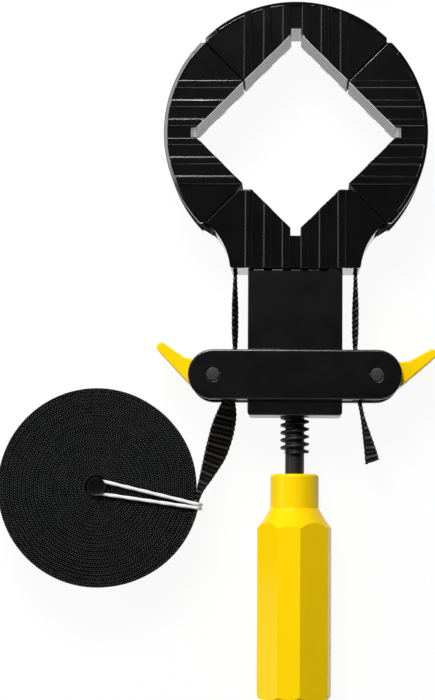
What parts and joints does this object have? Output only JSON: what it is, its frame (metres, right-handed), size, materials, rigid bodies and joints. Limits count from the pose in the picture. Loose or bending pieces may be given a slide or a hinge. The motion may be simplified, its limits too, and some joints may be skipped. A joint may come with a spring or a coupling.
{
  "type": "screw band clamp",
  "caption": "Corner band clamp: V-notched jaws on a webbing loop, drawn tight by a screw handle; sprung cam levers lock the band, and its spare length is coiled and tied.",
  "frame": {"origin": "on the back face, midway between the two lever pivots", "axes": "+Z out of the front face, +Y from the handle to the ring of jaws, +X across the crossbar"},
  "size_m": [0.1971, 0.3152, 0.034],
  "materials": {
    "black_plastic": "satin moulded black plastic",
    "yellow_plastic": "smooth moulded yellow plastic",
    "black_steel": "black oxide",
    "grey_steel": "dark grey, matt",
    "bright_steel": "zinc plated",
    "brass": "machined",
    "webbing": "woven black polyester webbing",
    "elastic": "white elastic cord"
  },
  "bodies": {
    "housing": {"housing_front_shell": "black_plastic", "housing_rear_shell": "black_plastic", "housing_screw_1": "bright_steel", "housing_screw_2": "bright_steel", "housing_screw_3": "bright_steel", "housing_screw_4": "bright_steel", "spindle_nut": "brass", "pivot_pin_left": "grey_steel", "pivot_pin_right": "grey_steel", "lever_spring_left": "bright_steel", "lever_spring_right": "bright_steel", "band_lead": "webbing", "band_coil": "webbing", "band_tail": "webbing", "coil_peg": "black_plastic", "elastic_tie": "elastic"},
    "head": {"head_jaw": "black_plastic", "thrust_washer": "bright_steel", "band_run_left": "webbing", "band_run_right": "webbing", "band_link_head_left": "webbing", "band_link_head_right": "webbing"},
    "spindle": {"spindle": "black_steel", "handle": "yellow_plastic"},
    "lever_left": {"lever_left": "yellow_plastic"},
    "lever_right": {"lever_right": "yellow_plastic"},
    "jaw_left": {"corner_jaw_left": "black_plastic", "band_wrap_left": "webbing", "band_link_left_top": "webbing"},
    "jaw_right": {"corner_jaw_right": "black_plastic", "band_wrap_right": "webbing", "band_link_top_right": "webbing"},
    "jaw_top": {"corner_jaw_top": "black_plastic"},
    "band_top": {"band_wrap_top": "webbing"}
  },
  "joints": [
    {"name": "head_slide", "type": "slide", "parent": "housing", "child": "head", "axis": [0, 1, 0], "range_m": [0, 0.016]},
    {"name": "spindle_turn", "type": "hinge", "parent": "head", "child": "spindle", "pos_m": [0, 0, 0.017], "axis": [0, 1, 0], "range_deg": [0, 1694.2]},
    {"name": "lever_left_turn", "type": "hinge", "parent": "housing", "child": "lever_left", "pos_m": [-0.0369, 0, 0.017], "axis": [0, 0, -1], "range_deg": [-6.4, 28.6], "stiffness_Nm_per_rad": 0.15, "deforming": ["lever_spring_left"]},
    {"name": "lever_right_turn", "type": "hinge", "parent": "housing", "child": "lever_right", "pos_m": [0.0369, 0, 0.017], "axis": [0, 0, 1], "range_deg": [0, 35], "stiffness_Nm_per_rad": 0.15, "deforming": ["lever_spring_right"]},
    {"name": "loop_open", "type": "slide", "parent": "head", "child": "jaw_left", "axis": [-0.7071, 0.7071, 0], "range_m": [0, 0.04], "deforming": ["band_link_head_left"]},
    {"name": "jaw_right_slide", "type": "slide", "parent": "head", "child": "jaw_right", "axis": [0.7071, 0.7071, 0], "range_m": [0, 0.04], "deforming": ["band_link_head_right"]},
    {"name": "jaw_top_slide", "type": "slide", "parent": "jaw_left", "child": "jaw_top", "axis": [0.7071, 0.7071, 0], "range_m": [0, 0.04], "deforming": ["band_link_left_top"]},
    {"name": "band_top_slide", "type": "slide", "parent": "jaw_right", "child": "band_top", "axis": [-0.7071, 0.7071, 0], "range_m": [0, 0.04], "deforming": ["band_link_top_right"]}
  ],
  "couplings": [
    {"joint": "spindle_turn", "follows": "head_slide", "rad_per_m": 1848},
    {"joint": "jaw_right_slide", "follows": "loop_open", "ratio": 1},
    {"joint": "jaw_top_slide", "follows": "loop_open", "ratio": 1},
    {"joint": "band_top_slide", "follows": "loop_open", "ratio": 1}
  ]
}
